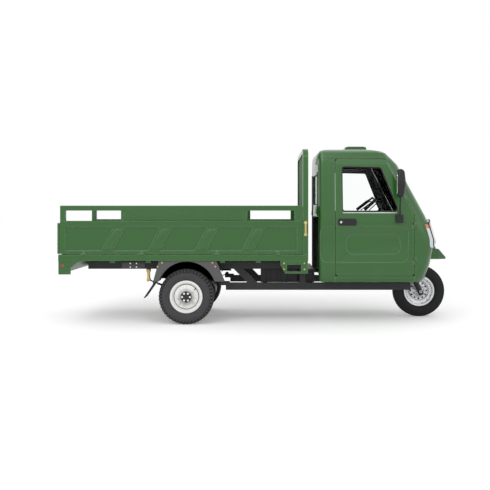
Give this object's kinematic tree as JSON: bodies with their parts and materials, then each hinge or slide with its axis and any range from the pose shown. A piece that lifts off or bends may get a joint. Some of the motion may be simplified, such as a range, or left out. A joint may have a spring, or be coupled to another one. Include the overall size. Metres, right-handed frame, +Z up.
{
  "type": "cargo tricycle",
  "caption": "Electric cargo tricycle with a closed cab, a drop-side load bed on a ladder frame, leaf-sprung rear axle and a raked front fork; doors, boards, steering and wheels move.",
  "frame": {"origin": "middle of the bounding box at the ground", "axes": "+X forward, +Y to the vehicle's left, +Z up"},
  "size_m": [4.12, 1.514, 1.874],
  "materials": {
    "paint": "gloss",
    "frame": "satin",
    "fender": "matte",
    "zinc": "satin",
    "damper": "satin",
    "tyre": "matte",
    "rim_rear": "gloss",
    "rim_front": "satin",
    "glass": "gloss",
    "lamp": "gloss",
    "lamp_red": "gloss",
    "trim": "satin",
    "rubber": "matte",
    "seat": "satin"
  },
  "bodies": {
    "chassis": {"chassis_frame": "frame", "rear_axle": "frame", "drive_motor": "frame", "leaf_springs": "frame", "spring_shackles": "zinc", "rear_dampers": "damper", "battery_box": "trim", "bed_floor": "paint", "headboard": "paint", "board_latches": "zinc", "tail_panel": "paint", "tail_lamps": "lamp_red", "rear_fenders": "fender", "mud_flaps": "rubber", "cab_floor": "paint", "cab_rear": "paint", "cab_front": "paint", "cab_roof": "paint", "roof_vent": "paint", "windscreen": "glass", "rear_window": "glass", "headlamps": "lamp", "front_mudguard": "paint", "seat_base": "trim", "seat_cushion": "seat", "seat_back": "seat", "dashboard": "trim"},
    "steering": {"front_fork": "frame", "handlebar": "trim"},
    "front_wheel": {"front_tyre": "tyre", "front_rim": "rim_front"},
    "rear_wheel_left": {"rear_tyre_left": "tyre", "rear_rim_left": "rim_rear"},
    "rear_wheel_right": {"rear_tyre_right": "tyre", "rear_rim_right": "rim_rear"},
    "door_left": {"door_left": "paint", "door_glass_left": "glass", "door_handle_left": "trim", "mirror_left": "trim"},
    "door_right": {"door_right": "paint", "door_glass_right": "glass", "door_handle_right": "trim", "mirror_right": "trim"},
    "side_board_left": {"side_board_left": "paint", "board_rail_left": "paint"},
    "side_board_right": {"side_board_right": "paint", "board_rail_right": "paint"},
    "tailgate": {"tailgate": "paint"}
  },
  "joints": [
    {"name": "steering", "type": "hinge", "parent": "chassis", "child": "steering", "pos_m": [1.772, 0, 0.285], "axis": [-0.4226, 0, 0.9063], "range_deg": [-38, 38]},
    {"name": "front_wheel_spin", "type": "hinge", "parent": "steering", "child": "front_wheel", "pos_m": [1.772, 0, 0.285], "axis": [0, 1, 0], "continuous": true},
    {"name": "rear_wheel_spin_left", "type": "hinge", "parent": "chassis", "child": "rear_wheel_left", "pos_m": [-0.745, 0.53, 0.285], "axis": [0, 1, 0], "continuous": true},
    {"name": "rear_wheel_spin_right", "type": "hinge", "parent": "chassis", "child": "rear_wheel_right", "pos_m": [-0.745, -0.53, 0.285], "axis": [0, 1, 0], "continuous": true},
    {"name": "door_left_swing", "type": "hinge", "parent": "chassis", "child": "door_left", "pos_m": [1.6025, 0.61, 0.65], "axis": [0, 0, -1], "range_deg": [0, 65]},
    {"name": "door_right_swing", "type": "hinge", "parent": "chassis", "child": "door_right", "pos_m": [1.6025, -0.61, 0.65], "axis": [0, 0, 1], "range_deg": [0, 65]},
    {"name": "side_board_left_drop", "type": "hinge", "parent": "chassis", "child": "side_board_left", "pos_m": [0, 0.653, 0.728], "axis": [-1, 0, 0], "range_deg": [0, 175]},
    {"name": "side_board_right_drop", "type": "hinge", "parent": "chassis", "child": "side_board_right", "pos_m": [0, -0.653, 0.728], "axis": [1, 0, 0], "range_deg": [0, 175]},
    {"name": "tailgate_drop", "type": "hinge", "parent": "chassis", "child": "tailgate", "pos_m": [-2.052, 0, 0.728], "axis": [0, -1, 0], "range_deg": [0, 175]}
  ]
}
